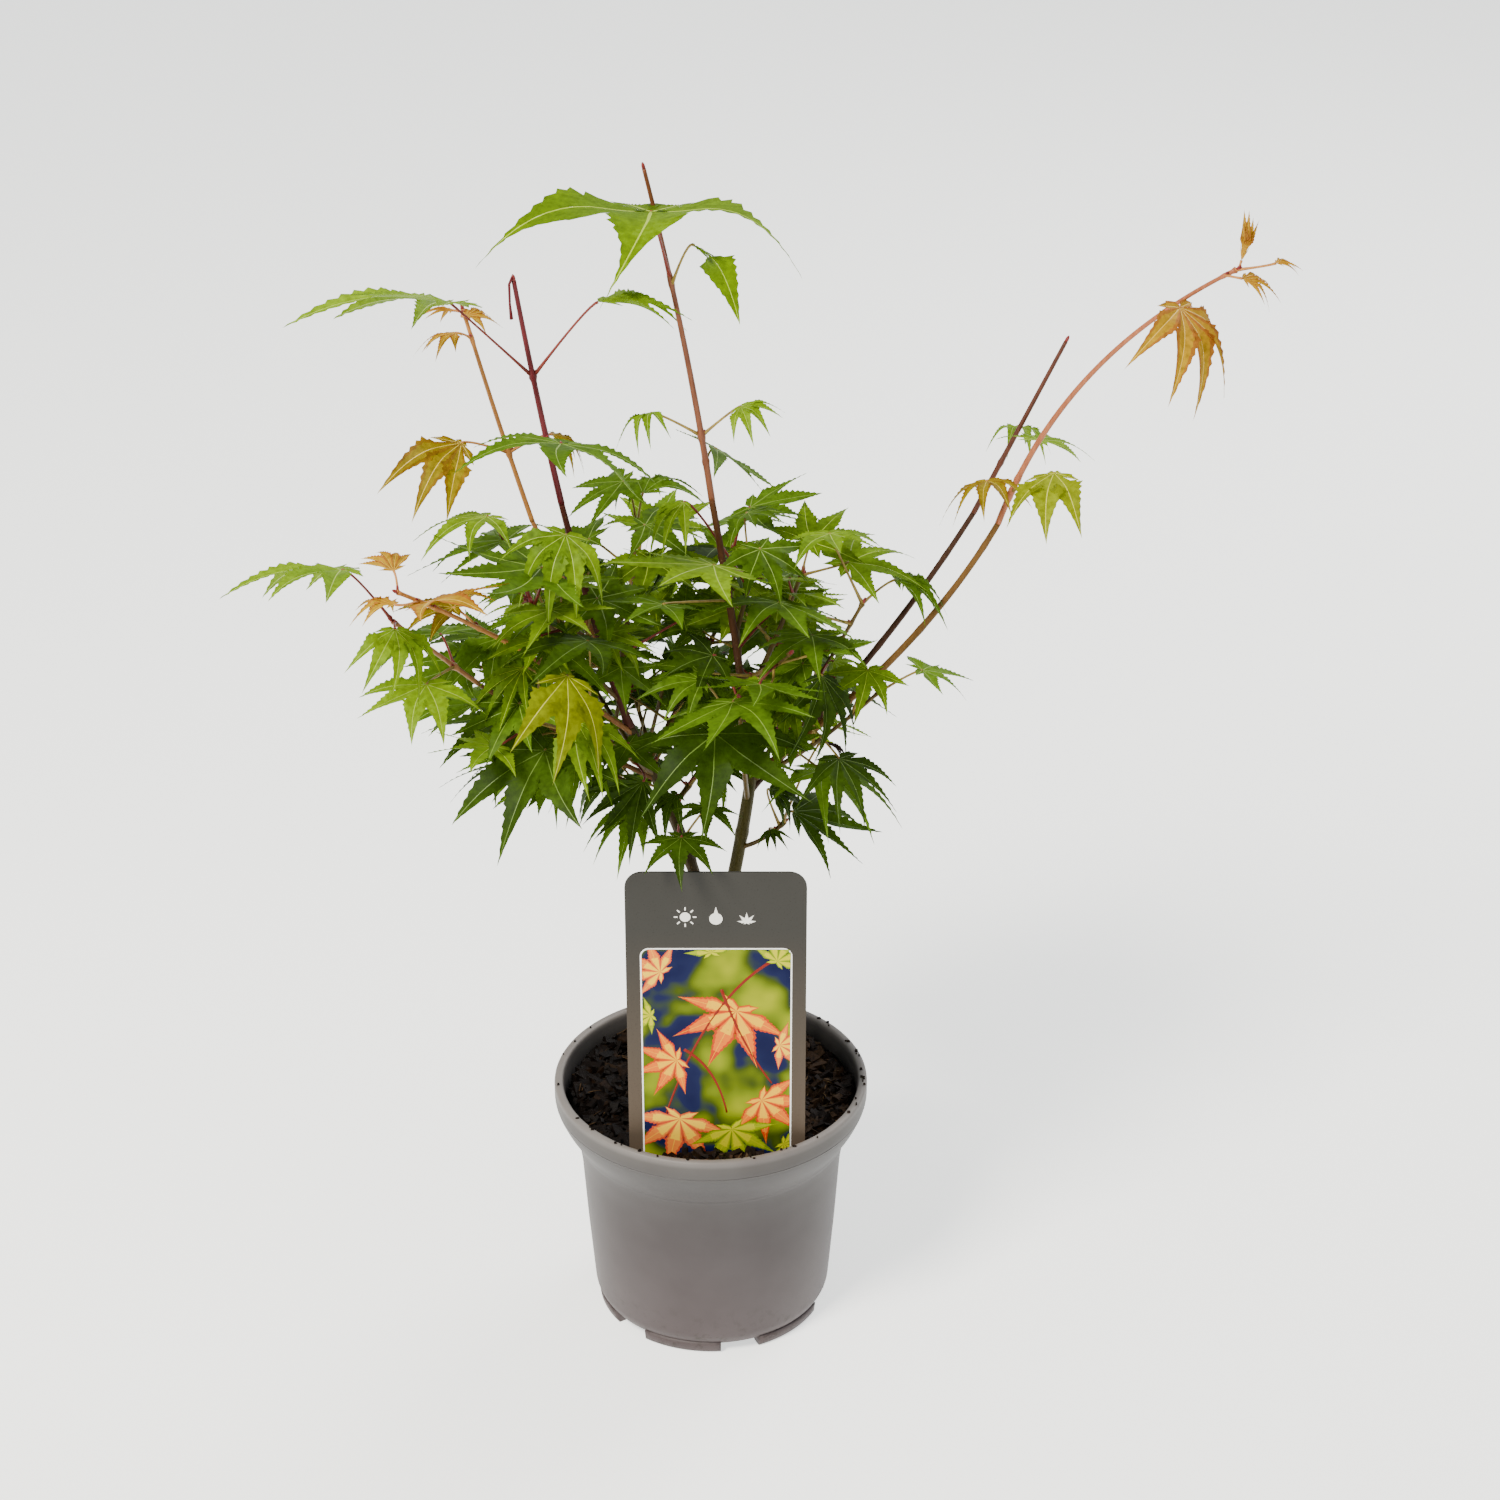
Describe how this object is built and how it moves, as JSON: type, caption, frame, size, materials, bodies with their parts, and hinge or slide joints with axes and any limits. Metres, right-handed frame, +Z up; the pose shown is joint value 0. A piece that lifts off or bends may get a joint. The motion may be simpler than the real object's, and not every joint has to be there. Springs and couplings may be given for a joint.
{
  "type": "potted japanese maple",
  "caption": "Young Japanese maple with long shoots and a leafy crown, in a round plastic nursery pot with a tall plant label.",
  "frame": {"origin": "on the floor, under the middle of the pot's flat underside", "axes": "+Z up along the pot's axis, -Y towards the side that shows the label's front, +X to the right of someone facing that side"},
  "size_m": [0.4005, 0.2089, 0.5082],
  "materials": {
    "pot": "satin",
    "potting_mix": "rough",
    "label": "satin",
    "bark": "satin",
    "foliage": "satin",
    "young_foliage": "satin"
  },
  "bodies": {
    "root": {"centre_upper_spray": "foliage", "front_spray": "foliage", "high_foliage_1": "foliage", "high_foliage_2": "foliage", "high_foliage_3": "foliage", "high_foliage_4": "foliage", "high_foliage_5": "foliage", "high_foliage_6": "foliage", "label": "label", "leader_bough": "bark", "leader_spray": "foliage", "left_foot_spray": "foliage", "left_front_bough": "bark", "left_front_spray": "young_foliage", "left_hanging_spray": "foliage", "left_leader_bough": "bark", "left_leader_spray": "foliage", "left_low_bough": "bark", "left_low_spray": "foliage", "left_slender_bough": "bark", "left_slender_spray": "foliage", "left_stem": "bark", "left_upper_spray": "foliage", "low_foliage_1": "foliage", "low_foliage_2": "foliage", "low_foliage_3": "foliage", "middle_foliage_1": "foliage", "middle_foliage_2": "foliage", "middle_foliage_3": "foliage", "middle_foliage_4": "foliage", "middle_foliage_5": "foliage", "middle_foliage_6": "foliage", "pot": "pot", "potting_mix": "potting_mix", "right_arching_bough": "bark", "right_arching_spray": "young_foliage", "right_low_spray": "foliage", "right_middle_spray": "foliage", "right_second_bough": "bark", "right_second_spray": "foliage", "right_stem": "bark", "right_upper_spray": "foliage", "trunk": "bark"}
  },
  "joints": []
}
